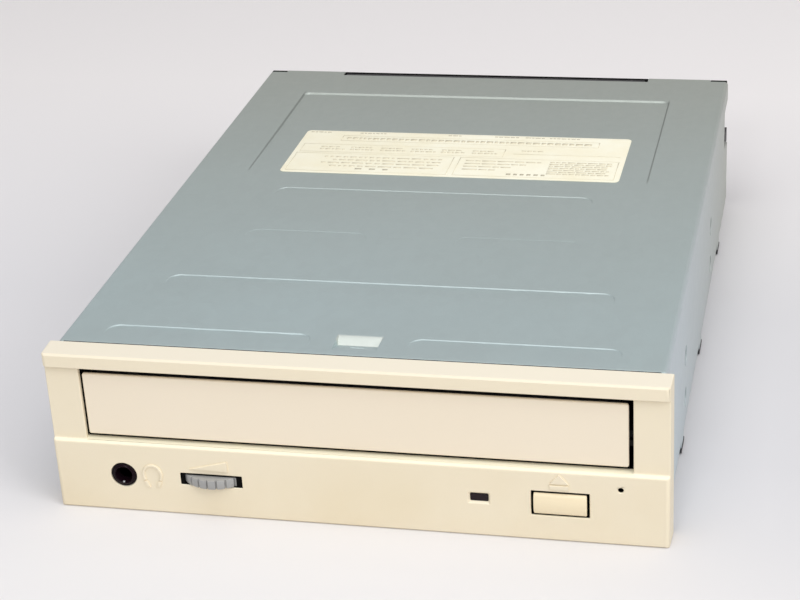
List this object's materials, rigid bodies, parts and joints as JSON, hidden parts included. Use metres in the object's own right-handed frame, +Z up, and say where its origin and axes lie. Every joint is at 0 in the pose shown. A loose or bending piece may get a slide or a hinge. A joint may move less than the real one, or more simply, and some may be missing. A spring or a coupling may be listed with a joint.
{
  "type": "cd-rom drive",
  "caption": "Half-height CD-ROM drive with a motor tray, lowering laser mechanism, disc clamper, headphone socket, volume wheel and eject button in a steel case with a cream bezel.",
  "frame": {"origin": "middle of the whole drive's box, on the plane that it stands on", "axes": "+X to the right as seen from the front, +Y to the back where the plugs go, +Z up"},
  "size_m": [0.149, 0.2034, 0.042],
  "materials": {
    "galvanised": "galvanised",
    "label": "matt",
    "cream_plastic": "fine texture",
    "black_plastic": "satin",
    "tray_plastic": "satin",
    "white_plastic": "satin",
    "grey_plastic": "satin",
    "jack_plastic": "satin",
    "smoked": "clear dark",
    "steel": "bright",
    "board": "solder mask",
    "chip": "matt",
    "contact": "plated",
    "rubber": "matt",
    "lens": "clear",
    "ribbon": "film"
  },
  "bodies": {
    "chassis": {"top_cover": "galvanised", "cover_label": "label", "bottom_pan": "galvanised", "front_bezel": "cream_plastic", "main_frame": "black_plastic", "rear_panel": "black_plastic", "clamp_bridge": "galvanised", "bridge_screws": "steel", "loading_motor": "steel", "motor_screws": "steel", "drive_belt": "rubber", "main_board": "board", "board_screws": "steel", "main_chips": "chip", "capacitors": "chip", "data_header": "black_plastic", "header_pins": "contact", "power_socket": "white_plastic", "power_pins": "contact", "audio_header": "black_plastic", "jumper_block": "black_plastic", "jumper_cap": "white_plastic", "front_board": "board", "headphone_jack": "jack_plastic", "volume_pot": "grey_plastic", "eject_switch": "black_plastic", "busy_led": "white_plastic", "led_window": "smoked", "front_ribbon": "ribbon", "base_screws": "steel"},
    "tray": {"disc_tray": "tray_plastic", "tray_door": "cream_plastic"},
    "eject_button": {"eject_button": "cream_plastic", "switch_plunger": "white_plastic"},
    "volume_wheel": {"volume_wheel": "grey_plastic"},
    "motor_pulley": {"motor_pulley": "white_plastic"},
    "pulley_gear": {"pulley_gear": "white_plastic"},
    "tray_gear": {"tray_gear": "white_plastic"},
    "cam_slider": {"cam_slider": "white_plastic"},
    "traverse": {"traverse_frame": "black_plastic", "mech_base": "galvanised", "rubber_dampers": "rubber", "damper_screws": "steel", "spindle_motor": "steel", "guide_rods": "steel", "rod_clips": "black_plastic", "sled_motor": "steel"},
    "turntable": {"turntable": "black_plastic", "turntable_mat": "rubber"},
    "sled_screw": {"sled_screw": "steel"},
    "pickup": {"pickup_body": "black_plastic", "pickup_cover": "steel"},
    "lens": {"objective_lens": "lens"},
    "clamper": {"clamper": "white_plastic", "clamper_magnet": "steel"}
  },
  "joints": [
    {"name": "tray_slide", "type": "slide", "parent": "chassis", "child": "tray", "axis": [0, -1, 0], "range_m": [0, 0.134]},
    {"name": "tray_gear_spin", "type": "hinge", "parent": "chassis", "child": "tray_gear", "pos_m": [-0.042, -0.0723, 0.02], "axis": [0, 0, 1], "continuous": true},
    {"name": "pulley_gear_spin", "type": "hinge", "parent": "chassis", "child": "pulley_gear", "pos_m": [-0.025, -0.07686, 0.019], "axis": [0, 0, 1], "continuous": true},
    {"name": "motor_pulley_spin", "type": "hinge", "parent": "chassis", "child": "motor_pulley", "pos_m": [0.008, -0.0713, 0.017], "axis": [0, 0, 1], "continuous": true},
    {"name": "eject_press", "type": "slide", "parent": "chassis", "child": "eject_button", "axis": [0, 1, 0], "range_m": [0, 0.0009], "stiffness_N_per_m": 1500},
    {"name": "volume_turn", "type": "hinge", "parent": "chassis", "child": "volume_wheel", "pos_m": [-0.035, -0.0925, 0.01], "axis": [0, 0, 1], "range_deg": [-135, 135]},
    {"name": "traverse_lower", "type": "hinge", "parent": "chassis", "child": "traverse", "pos_m": [0, 0.0657, 0.0176], "axis": [1, 0, 0], "range_deg": [0, 4]},
    {"name": "cam_slide", "type": "slide", "parent": "chassis", "child": "cam_slider", "axis": [-1, 0, 0], "range_m": [0, 0.02]},
    {"name": "turntable_spin", "type": "hinge", "parent": "traverse", "child": "turntable", "pos_m": [0, -0.0263, 0.0282], "axis": [0, 0, 1], "continuous": true},
    {"name": "pickup_slide", "type": "slide", "parent": "traverse", "child": "pickup", "axis": [0, 1, 0], "range_m": [0, 0.0355]},
    {"name": "sled_screw_spin", "type": "hinge", "parent": "traverse", "child": "sled_screw", "pos_m": [0.029, 0.0177, 0.0162], "axis": [0, 1, 0], "continuous": true},
    {"name": "lens_focus", "type": "slide", "parent": "pickup", "child": "lens", "axis": [0, 0, 1], "range_m": [-0.0004, 0.0004], "stiffness_N_per_m": 80},
    {"name": "clamper_spin", "type": "hinge", "parent": "chassis", "child": "clamper", "pos_m": [0, -0.0263, 0.034], "axis": [0, 0, 1], "continuous": true}
  ],
  "couplings": [
    {"joint": "tray_gear_spin", "follows": "tray_slide", "rad_per_m": 125},
    {"joint": "pulley_gear_spin", "follows": "tray_slide", "rad_per_m": -333.33},
    {"joint": "motor_pulley_spin", "follows": "tray_slide", "rad_per_m": -972.6},
    {"joint": "cam_slide", "follows": "traverse_lower", "m_per_rad": 0.28645},
    {"joint": "sled_screw_spin", "follows": "pickup_slide", "rad_per_m": 1570.8}
  ]
}
